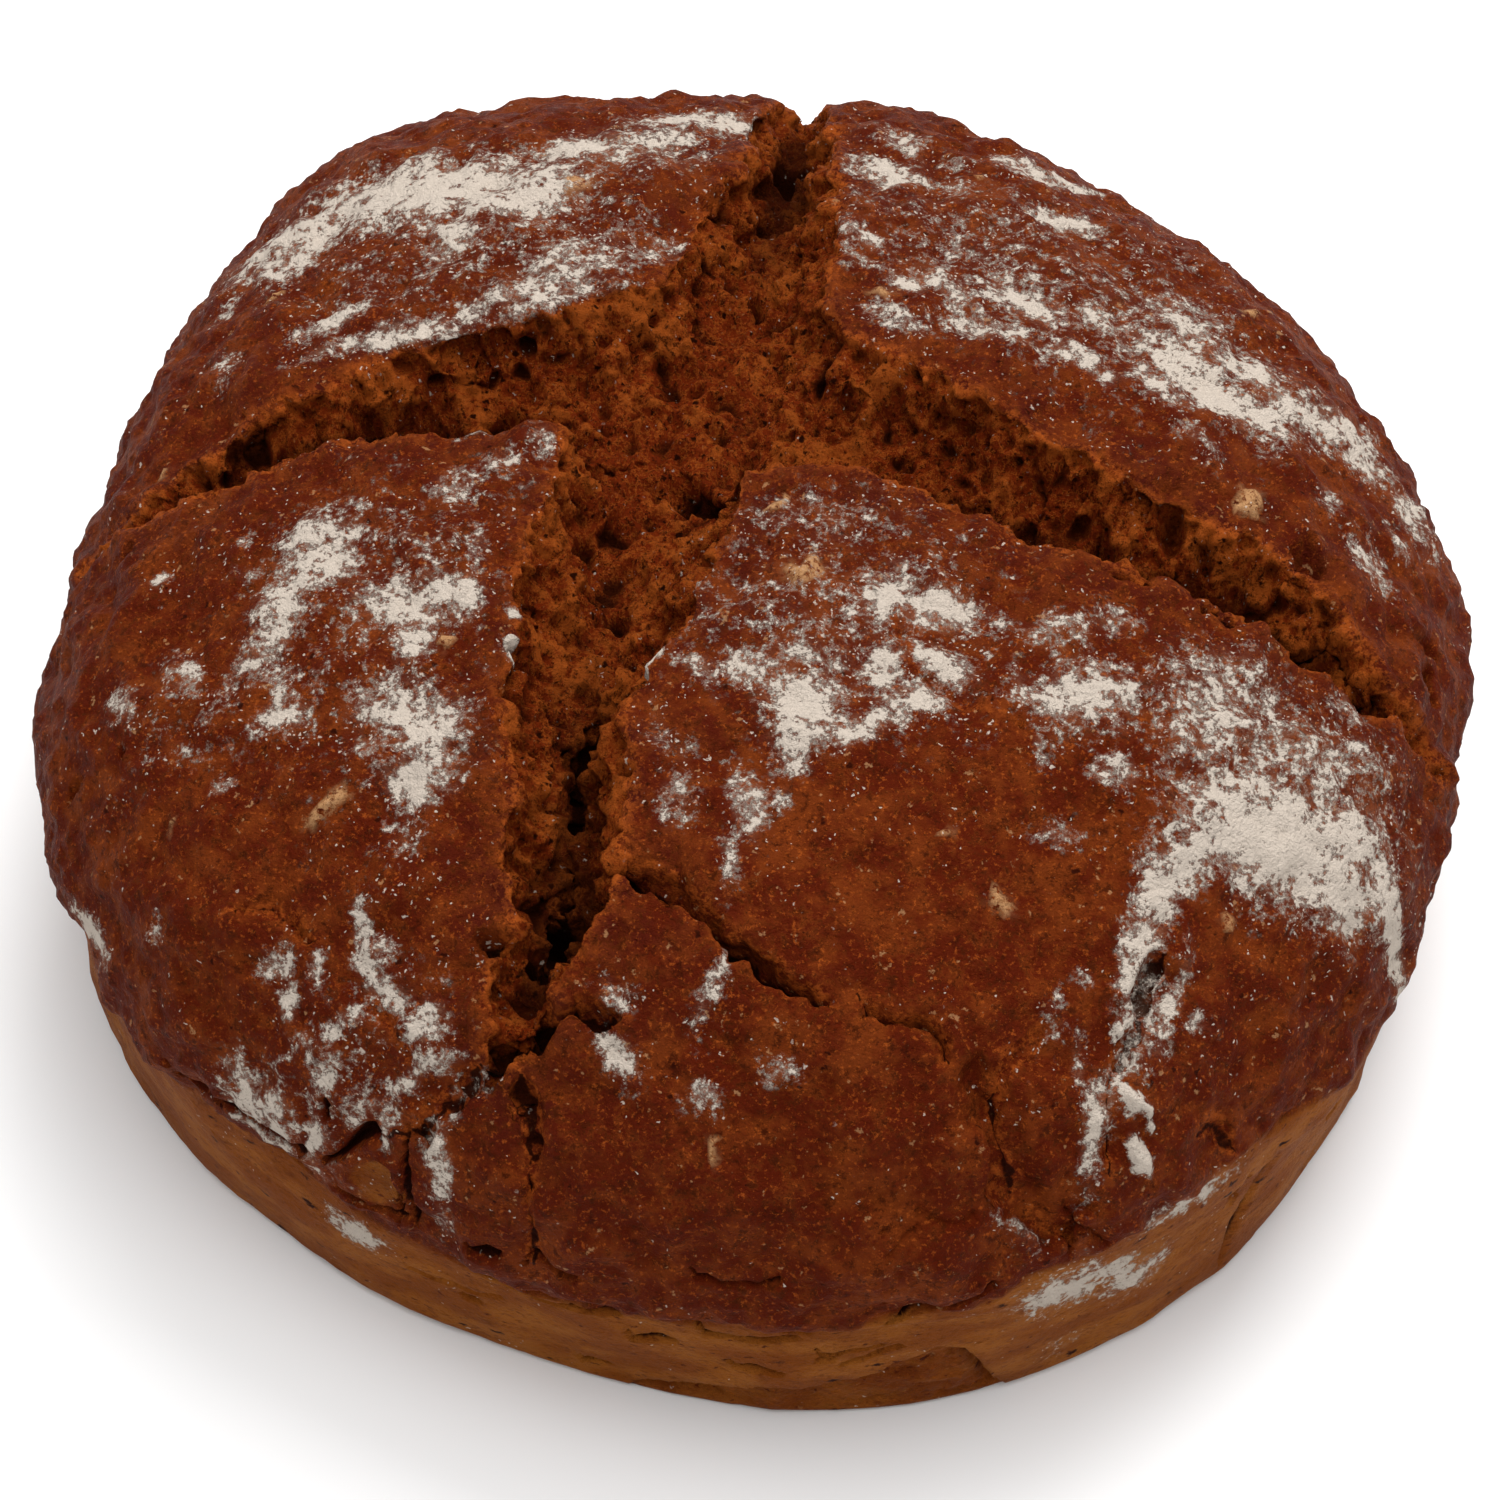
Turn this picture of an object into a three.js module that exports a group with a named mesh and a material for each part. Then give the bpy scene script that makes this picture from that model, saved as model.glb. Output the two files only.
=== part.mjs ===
// Round soda bread, baked as one piece: a straight tin-shaped wall, a domed crust above it, and the
// cross that was cut in the dough before baking and tore open in the oven.
//
// Millimetres, +Z up. The origin is the middle of the flat base. -Y is the front of the loaf.
// The loaf is a ball of even triangles laid on the loaf's profile, so it is one closed solid.

import * as THREE from "three";
import { mergeVertices } from "three/addons/utils/BufferGeometryUtils.js";

// Driving dimensions.
const LOAF_RADIUS = 100; // mean radius where the wall meets the crust
const LOAF_HEIGHT = 78; // base to the top of the dome, before the cross opened
const WALL_HEIGHT = 35; // base to the crust's edge, mean
const WALL_RISE = 4.5; // how much higher the crust's edge is at the back than at the middle
const BASE_SHARE = 0.978; // radius of the base, as a share of the rim's: the draft of the tin
const BASE_EDGE = 2.5; // rounding between base and wall
const CRUST_LIP = 1.2; // how far the crust swells out over the wall
const DOME_POWER = 3.2; // 2 is an ellipse, more is a flatter top with fuller shoulders
const BALL_DETAIL = 18; // each face of the ball is split into (detail + 1)^2 triangles

// How the ball's polar angle is shared out along the profile, from the top pole to the bottom one.
const DOME_END = 0.6;
const WALL_END = 0.78;
const EDGE_END = 0.83;

// The rim isn't a true circle: [waves round the loaf, share of the radius, angle of a crest in degrees].
const RIM_WAVES = [
  [2, 0.025, -53],
  [3, 0.013, -13],
  [4, 0.018, 25],
];

// Places where the rim swells out: [angle in degrees, spread in degrees, how far out].
const RIM_SWELLINGS = [
  [126, 13, 5.8],
  [62, 12, 3.6],
  [-155, 14, 1.6],
  [-84, 20, 1.9],
  [100, 9, -2],
];

// The torn cross. Each arm runs out from the middle, and each point is x, y and the half width of the
// opening there.
const TEAR_DEPTH = 11;
const FULL_DEPTH_WIDTH = 10; // an arm is shallower where its half width is less than this
const LIP_ROLL = 1.4; // how far the crust rolls down towards the opening
const LIP_REACH = 5; // over what distance it does so
const EDGE_SOFTNESS = 2.5; // how far outside the opening its sides begin to slope down
const MIDDLE = [-9, 16, 13];
const CROSS_ARMS = [
  [MIDDLE, [-28, 20, 10], [-41, 18, 7.5], [-54, 15, 6], [-68, 11.5, 4], [-80, 6.5, 1.8], [-90, 3, 1]],
  [MIDDLE, [1, 36, 10.5], [3, 46, 9.5], [4, 56, 8], [6, 68, 6], [7, 80, 5], [8, 95, 3]],
  [
    MIDDLE, [14, 13, 11.5], [27, 6, 9.5], [41, -3, 8], [56, -9, 7], [72, -15.5, 5.5], [84, -22, 2.5],
    [92, -28, 1.2],
  ],
  [
    MIDDLE, [-15, -8, 12], [-19, -20, 10], [-22, -30, 8.5], [-23, -42, 8], [-22, -55, 6.5], [-26, -66, 6],
    [-29, -77, 2],
  ],
];

function rimRadius(angle) {
  let share = 1;
  for (const [waves, amount, crest] of RIM_WAVES) {
    share += amount * Math.cos(waves * (angle - THREE.MathUtils.degToRad(crest)));
  }
  let radius = LOAF_RADIUS * share;
  for (const [middle, spread, swelling] of RIM_SWELLINGS) {
    const turn = THREE.MathUtils.euclideanModulo(THREE.MathUtils.radToDeg(angle) - middle + 180, 360) - 180;
    radius += swelling * Math.exp(-((turn / spread) ** 2));
  }
  return radius;
}

function wallTop(angle) {
  return WALL_HEIGHT + WALL_RISE * Math.sin(angle);
}

// How far inside the torn opening a point lies, in mm: 0 at the crust's edge, below 0 outside it. The
// opening's half width there comes with it.
function tearAt(x, y) {
  const place = new THREE.Vector2(x, y);
  let inside = -Infinity;
  let width = 0;
  for (const arm of CROSS_ARMS) {
    for (let i = 1; i < arm.length; i++) {
      const start = new THREE.Vector2(arm[i - 1][0], arm[i - 1][1]);
      const run = new THREE.Vector2(arm[i][0], arm[i][1]).sub(start);
      const along = THREE.MathUtils.clamp(place.clone().sub(start).dot(run) / run.lengthSq(), 0, 1);
      const half = THREE.MathUtils.lerp(arm[i - 1][2], arm[i][2], along);
      const off = place.distanceTo(start.addScaledVector(run, along));
      if (half - off > inside) {
        inside = half - off;
        width = half;
      }
    }
  }
  return { inside, width };
}

// How far the crust or the torn crumb lies below the plain dome.
function tearDrop(x, y) {
  const { inside, width } = tearAt(x, y);
  const depth = TEAR_DEPTH * THREE.MathUtils.smoothstep(width, 0, FULL_DEPTH_WIDTH);
  const roll = LIP_ROLL * Math.exp(Math.min(0, inside) / LIP_REACH);
  return roll + depth * THREE.MathUtils.smoothstep(inside, -EDGE_SOFTNESS, 0.9 * width);
}

// The loaf's surface in one direction from inside the ball.
function loafPoint(direction) {
  const angle = Math.atan2(direction.y, direction.x);
  const run = Math.acos(THREE.MathUtils.clamp(direction.z, -1, 1)) / Math.PI;
  const rim = rimRadius(angle);
  const base = rim * BASE_SHARE;
  const top = wallTop(angle);
  let radius;
  let z;
  if (run < DOME_END) {
    const share = Math.sin((run / DOME_END) * (Math.PI / 2));
    radius = rim * share;
    z = top + (LOAF_HEIGHT - top) * Math.sqrt(1 - share ** DOME_POWER);
    const onDome = THREE.MathUtils.smoothstep(z, top, top + 12);
    z -= tearDrop(radius * Math.cos(angle), radius * Math.sin(angle)) * onDome;
  } else if (run < WALL_END) {
    const share = (run - DOME_END) / (WALL_END - DOME_END);
    const lip = CRUST_LIP * THREE.MathUtils.smoothstep(share, 0, 0.15);
    radius = THREE.MathUtils.lerp(rim, base, share) - lip;
    z = THREE.MathUtils.lerp(top, BASE_EDGE, share);
  } else if (run < EDGE_END) {
    const turn = ((run - WALL_END) / (EDGE_END - WALL_END)) * (Math.PI / 2);
    radius = base - CRUST_LIP - BASE_EDGE * (1 - Math.cos(turn));
    z = BASE_EDGE * (1 - Math.sin(turn));
  } else {
    radius = (base - CRUST_LIP - BASE_EDGE) * ((1 - run) / (1 - EDGE_END));
    z = 0;
  }
  return new THREE.Vector3(radius * Math.cos(angle), radius * Math.sin(angle), z);
}

function loafGeometry() {
  const ball = new THREE.IcosahedronGeometry(1, BALL_DETAIL);
  ball.deleteAttribute("normal");
  ball.deleteAttribute("uv");
  const geometry = mergeVertices(ball, 1e-4);
  const places = geometry.getAttribute("position");
  const direction = new THREE.Vector3();
  for (let i = 0; i < places.count; i++) {
    direction.fromBufferAttribute(places, i).normalize();
    const point = loafPoint(direction);
    places.setXYZ(i, point.x, point.y, point.z);
  }
  // The base's middle is the origin, whatever the rim's waves did.
  geometry.computeBoundingBox();
  const middle = geometry.boundingBox.getCenter(new THREE.Vector3());
  geometry.translate(-middle.x, -middle.y, 0);
  geometry.computeVertexNormals();
  return geometry;
}

const crust = new THREE.MeshStandardMaterial({ color: 0x5c2611, roughness: 0.6, metalness: 0 });
const loaf = new THREE.Mesh(loafGeometry(), crust);
loaf.name = "loaf";

const sodaBread = new THREE.Group();
sodaBread.add(loaf);

export default sodaBread;
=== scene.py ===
import math

import bmesh
import bpy
import numpy as np
from mathutils import Euler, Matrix, Vector, kdtree, noise


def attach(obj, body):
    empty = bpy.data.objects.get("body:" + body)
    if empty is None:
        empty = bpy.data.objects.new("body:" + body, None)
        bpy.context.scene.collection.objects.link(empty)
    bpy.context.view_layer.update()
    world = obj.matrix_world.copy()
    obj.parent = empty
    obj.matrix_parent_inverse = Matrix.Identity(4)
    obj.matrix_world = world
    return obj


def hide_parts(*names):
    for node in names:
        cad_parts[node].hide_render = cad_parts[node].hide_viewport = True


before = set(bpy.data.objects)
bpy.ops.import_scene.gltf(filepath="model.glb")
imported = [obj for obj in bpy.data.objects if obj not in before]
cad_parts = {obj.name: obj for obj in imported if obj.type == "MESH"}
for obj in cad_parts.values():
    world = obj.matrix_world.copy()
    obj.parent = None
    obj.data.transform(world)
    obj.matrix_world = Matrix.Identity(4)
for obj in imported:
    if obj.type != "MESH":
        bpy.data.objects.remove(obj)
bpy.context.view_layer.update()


# ---- The loaf's shape ----------------------------------------------------------------------------
# One round of soda bread dough, baked in a straight-sided tin. It rose out of the tin as a dome, and the
# cross cut in it tore open down to the crumb. The mesh starts as a ball of even triangles, laid on the
# loaf's profile, and is then remade with even faces.

MM = 0.001  # the loaf is shaped in millimetres, and its mesh is turned to metres when it is finished

LOAF_RADIUS = 100
LOAF_HEIGHT = 78
WALL_HEIGHT = 35
WALL_RISE = 4.5
BASE_SHARE = 0.978
BASE_EDGE = 2.5
CRUST_LIP = 1.2
DOME_POWER = 3.2

# How the ball's polar angle is shared out along the profile, from the top to the middle of the base.
DOME_END, WALL_END, EDGE_END = 0.66, 0.82, 0.86

# The rim isn't a true circle. Waves: how many round the loaf, share of the radius, angle of a crest.
# Swellings: angle, spread in degrees, and how far out.
RIM_WAVES = ((2, 0.025, -53), (3, 0.013, -13), (4, 0.018, 25))
RIM_SWELLINGS = ((126, 13, 5.8), (62, 12, 3.6), (-155, 14, 1.6), (-84, 20, 1.9), (100, 9, -2))

# The cross, arm by arm from the middle out: x and y of the valley's deepest line, and how far the crust's
# edge is from it on the left and on the right, looking outwards.
CROSS_DEPTH = 11
CROSS_ARMS = (
    ((-8, 14, 9, 24), (-28, 15, 6, 15), (-41, 13.5, 3.5, 12.5), (-54, 12, 3, 9.5), (-68, 9, 2.3, 7),
     (-80, 6.3, 1.3, 2.2), (-90, 3.5, 0.8, 0.8)),
    ((0, 20, 14, 12), (1, 34, 13, 9), (2, 44, 9.5, 11), (3, 56, 7, 10), (5, 68, 5, 7), (7, 80, 5, 5),
     (8, 95, 2.5, 3)),
    ((-4, 12, 20, 10), (10, 7, 18, 6.5), (24, 2, 14.5, 4.5), (38, -4.5, 11, 5), (50, -10, 10, 4),
     (62, -15, 10, 3.3), (73, -20, 8, 2.2), (82, -24, 2.5, 1.2), (91, -28, 1, 1)),
    ((-12, 6, 11, 13), (-15, -6, 13, 12), (-18, -18, 10.5, 11), (-20.5, -29, 7.5, 9.5), (-22, -39, 7, 9),
     (-22, -50, 7, 8), (-23, -59, 6.5, 5.5), (-25, -66, 6, 5), (-28, -72, 4, 4), (-30, -78, 1.5, 2)),
)

# Narrower splits in the crust: half width, depth and line. The widest is a dent, with no painted shade at
# its bottom.
DENT_WIDTH = 2
SPLITS = (
    (1.6, 6.5, ((-17, -58), (-13, -61), (-8, -64), (-4, -68), (0, -72), (5, -74), (10, -77))),
    (1.2, 4, ((13, -76), (18, -78), (22, -79), (24, -83))),
    (1.3, 5, ((-20, -30), (-22, -39), (-22, -50), (-23, -59), (-25, -66))),
    (1, 5, ((-31, -78), (-26, -76), (-21, -75), (-16, -78))),
    (0.9, 3.5, ((-33, -79), (-39, -82), (-47, -83))),
    (0.9, 3.5, ((-29, -81), (-28, -84), (-26, -87), (-27, -91), (-27, -95))),
    (0.6, 2, ((18, -22), (20, -27), (21, -33), (27, -37), (34, -40), (35, -45))),
    (1, 3.2, ((50.5, -66), (49.5, -69.5), (48.3, -73), (47, -77), (45.2, -80.5), (43.5, -84), (43, -89))),
    (0.8, 2.2, ((-66, -58), (-61, -58), (-58, -61), (-54, -64))),
    (0.7, 1.8, ((-48, -71), (-44, -74), (-42, -78))),
    (0.9, 2.4, ((55, -82.5), (58, -81.5), (61.5, -81))),
    (0.9, 2.6, ((45, -15), (55, -16), (58, -19), (64, -21))),
    (1.1, 3.2, ((66, -18), (77, -16), (79, -20), (84, -25))),
    (3.2, 5.5, ((28, -82), (29, -87), (32, -91), (37, -92.5), (42, -92))),
    (0.9, 1.4, ((30, -84), (32, -81), (36, -78))),
    (1.3, 3, ((29.5, -83), (29.5, -86), (30.5, -89), (32, -91.5))),
    (0.6, 1.6, ((34, -92), (38, -92.8), (41, -92.5))),
)


def noise_at(points, size, octaves=1, seed=0):
    """Soft noise at the points, mostly between -1 and 1, in lumps of about the size given."""
    places = (points / size + 13.7 * seed).tolist()
    return np.array([noise.fractal(place, 1.0, 2.0, octaves) for place in places])


def smoothstep(values, low, high):
    """0 up to low, 1 from high, and a smooth ramp between them."""
    share = np.clip((values - low) / (high - low), 0, 1)
    return share * share * (3 - 2 * share)


def flat(points):
    """The points' places in plan, with no height."""
    return np.column_stack((points[:, :2], np.zeros(len(points))))


def wavered(points):
    """The points' x and y, pushed about so that lines drawn on the crust come out torn, not drawn."""
    level = flat(points)
    push = np.column_stack([
        1.6 * noise_at(level, 7, 2, seed) + 0.9 * noise_at(level, 2.2, 2, seed + 5) for seed in (1, 2)])
    return points[:, :2] + push


def line_reach(places, line):
    """Distance to the line, whether a place is left of it, and the line's nearest station: point + share."""
    best = np.full(len(places), np.inf)
    left = np.zeros(len(places), bool)
    station = np.zeros(len(places))
    for i in range(len(line) - 1):
        start = np.array(line[i][:2], float)
        run = np.array(line[i + 1][:2], float) - start
        away = places - start
        share = np.clip(away @ run / (run @ run), 0, 1)
        off = np.hypot(*(away - share[:, None] * run).T)
        nearer = off < best
        best[nearer] = off[nearer]
        left[nearer] = (run[0] * away[:, 1] - run[1] * away[:, 0] > 0)[nearer]
        station[nearer] = (i + share)[nearer]
    return best, left, station


def cross_at(places):
    """How far inside the torn cross each place is, below 0 on the crust, how deep, and how shut in."""
    inside = np.full(len(places), -np.inf)
    drop = np.zeros(len(places))
    shut_in = np.zeros(len(places))
    for arm in CROSS_ARMS:
        off, left, station = line_reach(places, arm)
        stations = np.arange(len(arm))
        half = np.where(left, np.interp(station, stations, [p[2] for p in arm]),
                        np.interp(station, stations, [p[3] for p in arm]))
        wide = np.interp(station, stations, [p[2] + p[3] for p in arm])
        depth = CROSS_DEPTH * smoothstep(wide, 0, 15)
        inside = np.maximum(inside, half - off)
        fall = depth * (1 - np.clip(off / half, 0, 1) ** 2)
        drop = np.maximum(drop, fall)
        shut_in = np.maximum(shut_in, fall / np.maximum(wide, 9))
    return inside, drop, shut_in


def splits_at(places):
    """How far inside a narrow split each place is, in mm, the drop there, and the painted shade at its
    bottom.
    """
    inside = np.full(len(places), -np.inf)
    drop = np.zeros(len(places))
    painted_shade = np.zeros(len(places))
    for half, depth, line in SPLITS:
        off, _, station = line_reach(places, line)
        taper = np.clip(4 * np.minimum(station, len(line) - 1 - station), 0.35, 1)
        drop = np.maximum(drop, depth * taper * (1 - smoothstep(off, 0.2 * half * taper, half * taper)))
        if half < DENT_WIDTH:
            inside = np.maximum(inside, half * taper - off)
            painted_shade = np.maximum(painted_shade, (1 - smoothstep(off, 0, 0.8 * half * taper)) * min(1, depth / 4))
    return inside, drop, painted_shade


def rim_radius(angle):
    """The loaf's radius where the wall meets the crust."""
    radius = LOAF_RADIUS * (1 + sum(
        amount * np.cos(waves * (angle - math.radians(crest))) for waves, amount, crest in RIM_WAVES))
    for middle, spread, swelling in RIM_SWELLINGS:
        turn = (np.degrees(angle) - middle + 180) % 360 - 180
        radius = radius + swelling * np.exp(-(turn / spread) ** 2)
    return radius


def wall_top(angle):
    """The height where the wall ends and the dome begins."""
    ring = 60 * np.column_stack((np.cos(angle), np.sin(angle), np.zeros(len(angle))))
    return WALL_HEIGHT + WALL_RISE * np.sin(angle) + 1.3 * noise_at(ring, 14, 3)


def loaf_form(directions):
    """Lays directions from the middle of a ball on the loaf's outside, in mm."""
    angle = np.arctan2(directions[:, 1], directions[:, 0])
    run = np.arccos(np.clip(directions[:, 2], -1, 1)) / math.pi
    rim = rim_radius(angle)
    base = rim * BASE_SHARE
    top = wall_top(angle)

    share = np.sin(np.clip(run / DOME_END, 0, 1) * math.pi / 2)
    radius = rim * share
    z = top + (LOAF_HEIGHT - top) * np.sqrt(np.clip(1 - share ** DOME_POWER, 0, 1))

    wall = run >= DOME_END
    share = np.clip((run - DOME_END) / (WALL_END - DOME_END), 0, 1)
    lip = CRUST_LIP * smoothstep(share, 0, 0.12)
    radius = np.where(wall, rim + (base - rim) * share - lip, radius)
    z = np.where(wall, top + (BASE_EDGE - top) * share, z)

    turn = np.clip((run - WALL_END) / (EDGE_END - WALL_END), 0, 1) * math.pi / 2
    edge = run >= WALL_END
    radius = np.where(edge, base - CRUST_LIP - BASE_EDGE * (1 - np.cos(turn)), radius)
    z = np.where(edge, BASE_EDGE * (1 - np.sin(turn)), z)

    under = run >= EDGE_END
    radius = np.where(under, (base - CRUST_LIP - BASE_EDGE) * (1 - run) / (1 - EDGE_END), radius)
    z = np.where(under, 0, z)

    points = np.column_stack((radius * np.cos(angle), radius * np.sin(angle), z))
    torn = wavered(points)
    inside, drop, _ = cross_at(torn)
    on_dome = smoothstep(z, top + 1, top + 12)
    lip_roll = 1.6 * np.exp(np.minimum(0, inside) / 5)
    points[:, 2] -= on_dome * (lip_roll + drop)
    points[:, 2] -= smoothstep(z, top, top + 4) * splits_at(torn)[1]
    return points


def read_points(mesh):
    numbers = np.empty(3 * len(mesh.vertices))
    mesh.vertices.foreach_get("co", numbers)
    return numbers.reshape(-1, 3)


def read_normals(mesh):
    numbers = np.empty(3 * len(mesh.vertices))
    mesh.vertex_normals.foreach_get("vector", numbers)
    return numbers.reshape(-1, 3)


def write_points(mesh, points):
    mesh.vertices.foreach_set("co", points.ravel())
    mesh.update()


def with_modifier(piece, kind, **settings):
    """Adds a modifier and applies it at once."""
    modifier = piece.modifiers.new(kind.title(), kind)
    for name, value in settings.items():
        setattr(modifier, name, value)
    made = bpy.data.meshes.new_from_object(piece.evaluated_get(bpy.context.evaluated_depsgraph_get()))
    piece.modifiers.clear()
    piece.data = made


BALL_CUTS = 9
FACE_SIZE = 0.55
ball = bmesh.new()
bmesh.ops.create_icosphere(ball, subdivisions=BALL_CUTS, radius=1)
ball_mesh = bpy.data.meshes.new("soda_loaf")
ball.to_mesh(ball_mesh)
ball.free()
form = loaf_form(read_points(ball_mesh))
middle = (form.max(0) + form.min(0)) / 2 * (1, 1, 0)
write_points(ball_mesh, form)
loaf = bpy.data.objects.new("soda_loaf", ball_mesh)
bpy.context.scene.collection.objects.link(loaf)
with_modifier(loaf, "REMESH", mode="VOXEL", voxel_size=FACE_SIZE)


# ---- Its skin ------------------------------------------------------------------------------------
# The crust is blistered and pebbly, the torn crumb is open and ragged, and the wall that the tin pressed
# is smooth but for creases and pinholes. Each is pushed in or out along the mesh's normals.

# The height at which the brown crust gives way to the tin-pressed wall, by angle round the loaf.
CRUST_EDGE = (
    (-180, 33), (-151, 27), (-136, 29), (-124, 26), (-111, 22.5), (-94, 27), (-79, 32), (-65, 37),
    (-52, 40), (-39, 34), (0, 36), (90, 39), (150, 37), (180, 33),
)

# Holes that bubbles left, most of them in the crumb: x, y, radius and depth.
BUBBLES = (
    # left arm
    (-38, 15, 3.4, 5.5), (-46.5, 9.5, 1.8, 5), (-50.5, 15, 2.2, 3.5), (-58, 14, 2, 3),
    (-67.5, 15, 2.5, 3.5), (-69, 9, 2.4, 4), (-75, 11, 1.5, 2.5), (-28.5, 15, 3.5, 2.8),
    (-22, 27.5, 1.4, 2), (-84, 0, 1.4, 2.5), (-44, 16, 3.6, 4.6), (-54, 15, 3.4, 4.6),
    (-62, 13, 3.4, 4.6), (-33, 19, 2.6, 4),
    # back arm and middle
    (6, 75, 3.4, 4), (1, 50, 2, 3), (0.5, 42, 2.5, 5), (-4.5, 54, 1.8, 2.8), (2, 60, 1.8, 3),
    (9.5, 21, 2.5, 3), (20, 16.5, 2, 2.5), (16.5, 22, 1.6, 2.5), (-7, 5, 4.5, 5), (-2, 3, 2, 3),
    (-20.5, -5.5, 2.1, 5), (-6.5, -8, 3, 4.5), (-17, -15, 2.5, 3), (-21, -12, 1.5, 2.5),
    (-20, 30, 1.8, 2.5), (-18, 10, 1.8, 2.5),
    # right arm
    (27.5, 2, 3.2, 5.5), (22.5, 4.5, 2, 2.5), (36.5, -2.5, 4, 3.5), (38, -6, 2, 4), (47, -4, 3.2, 4),
    (55.5, -3.5, 2, 4), (50, 1, 1.5, 2), (61, -6, 2, 3), (74.5, -7.5, 3, 3.5), (81, -23, 3, 4.5),
    (91.5, -17, 2.5, 3), (92, -11, 2, 2.5),
    # front arm
    (-29.5, -35, 2.2, 4), (-28.8, -49, 1.5, 3), (-22.3, -60, 1.7, 5), (-25.5, -66.5, 2.4, 4.5),
    (-32, -66.5, 2.3, 5), (-25.5, -77, 2.6, 5), (-32, -80, 2, 3.5), (-41, -83.3, 2, 3.8),
    (-30, -28, 1.6, 2.5),
    # crust
    (-88, -33.5, 1.6, 3), (-80, -34, 1.1, 2),
)

# Creases low on the loaf: where round it they start and end, in degrees, heights there, half width, depth.
CREASES = (
    (-93.6, -87, 23.2, 25.2, 1.1, 2.2), (-88.6, -85.8, 28.4, 27.4, 0.7, 1.3),
    (-99, -95.9, 17.6, 19, 1, 1.9), (-103.5, -101.5, 5.4, 6.2, 1.1, 2),
    (-84.9, -84, 19.6, 19.6, 0.9, 1.8), (-91.4, -87.7, 14.2, 15.6, 0.8, 1.6),
    (-85, -80.5, 21.4, 22.2, 0.6, 1.2), (-83.5, -79.1, 17.5, 21, 0.7, 1.3),
    (-80.5, -73, 31.5, 36.5, 0.7, 1.6), (-107, -105, 25, 25.4, 0.7, 1.3),
    (-113, -112, 13, 13.4, 0.9, 1.5), (-97, -95.6, 28.5, 28.2, 0.6, 1.1), (-139, -126, 33, 36, 1.2, 2.4),
    (-124, -120, 37, 45, 1.2, 3), (-117.3, -116.3, 45, 34, 0.9, 2.6), (-123, -117, 31, 32, 0.8, 1.6),
    (-111, -100, 23, 24, 0.9, 1.8), (-106.5, -103, 36, 34, 0.9, 1.8), (-111, -109, 34, 34.5, 1.2, 2.4),
    (-80.5, -78, 44, 48, 0.9, 0.7), (-78, -74, 49, 47, 0.9, 0.7), (-94, -88, 38.5, 40, 0.9, 1.2),
    (-51.2, -48, 9, 27, 2.2, 1.1), (-67, -64.5, 44, 38, 0.8, 0.9), (-118, -110, 15, 17, 0.8, 0.7),
    (-40, -34, 20, 25, 0.9, 0.7), (-20, -13, 14, 12, 1.1, 0.7), (5, 13, 27, 25, 1.3, 0.8),
    (38, 44, 12, 15, 1.2, 0.7), (62, 71, 30, 28, 1.5, 0.9), (95, 101, 18, 14, 1.2, 0.7),
    (118, 127, 29, 31, 1.4, 0.9), (150, 157, 9, 12, 1.1, 0.7), (172, 180, 25, 27, 1.4, 0.8),
    (203, 208, 14, 11, 1, 0.7),
)

# At the front the dough folded under itself as it filled the tin: the fold's height by angle.
FOLD = (
    (-103, -4), (-98.6, 3), (-93.8, 7), (-89, 10.3), (-84, 11.8), (-80.3, 14), (-78, 17.5), (-76.5, 20),
    (-74.5, 18.5), (-72.8, 13), (-71.5, 6), (-69, -3),
)

# Where a bit of crust tore off low at the front left: angle, height, half width in degrees, half height.
TORN_PATCH = (-119.4, 36.5, 2.3, 5)

# Bran flakes and lumps of flour baked on: x, y, half length, half width, turn in degrees and height.
FLAKES = (
    (-53, -48, 3.4, 1.7, 62, 0.9), (7, -17, 3.2, 2.2, 20, 1.1), (66.5, 0.5, 2.3, 2.8, 0, 1.2),
    (31, -63.5, 2.2, 1.8, 0, 0.4), (-4, -91, 1.4, 0.8, 70, 0.5), (-38, -19, 1.1, 1.4, 0, 0.7),
    (-39, -27, 1.5, 1.1, 0, 0.7), (-25, 56, 3.4, 1.8, 30, 0.5), (-80, 12, 1.6, 1, 70, 0.4),
    (18, 34, 1.5, 1.1, 0, 0.5), (3, -6, 1.6, 1.1, 40, 0.6), (24, -56, 1.3, 0.9, 0, 0.4),
    (-62, -30, 1.2, 0.8, 30, 0.4), (-20, 72, 1.6, 1, 0, 0.4), (33, 62, 1.4, 1, 50, 0.4),
    (-66, 40, 1.5, 0.9, 20, 0.4), (70, 40, 1.4, 1, 0, 0.4), (-74, -46, 1.3, 0.9, 60, 0.4),
    (60, -62, 1.4, 0.8, 10, 0.4),
)
FLOUR_LUMPS = (
    (47, -83, 1.9, 1.5, 0, 1.8), (47.3, -86.4, 2.3, 1.3, 0, 1.6), (50.5, -61, 1.6, 2.2, 0, 0.9),
    (-30.5, -26.5, 1.5, 1.2, 0, 1), (-31, -29, 1.7, 1.2, 20, 1), (-13, -31, 3.9, 0.8, 58, 1.1),
    (45.5, -76, 1, 1.4, 0, 0.9),
)


def degrees_round(points):
    return np.degrees(np.arctan2(points[:, 1], points[:, 0]))


def creases_at(points):
    """The depth of the creases at each point."""
    angle = degrees_round(points)
    shake = noise_at(points, 6, 2, 21)
    depth = np.zeros(len(points))
    for start, end, low, high, half, deep in CREASES:
        turn = (angle - start) % 360
        along = np.clip(turn / (end - start), 0, 1)
        beyond = np.minimum(np.maximum(turn - (end - start), 0), 360 - turn) * 1.7
        rise = points[:, 2] - (low + (high - low) * along + 1.3 * shake)
        off = np.hypot(beyond, rise * min(1, 1.7 * (end - start) / (abs(high - low) + 0.1)))
        depth = np.maximum(depth, deep * (1 - smoothstep(off, 0, half * (1 + 0.5 * shake))))
    return depth


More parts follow.
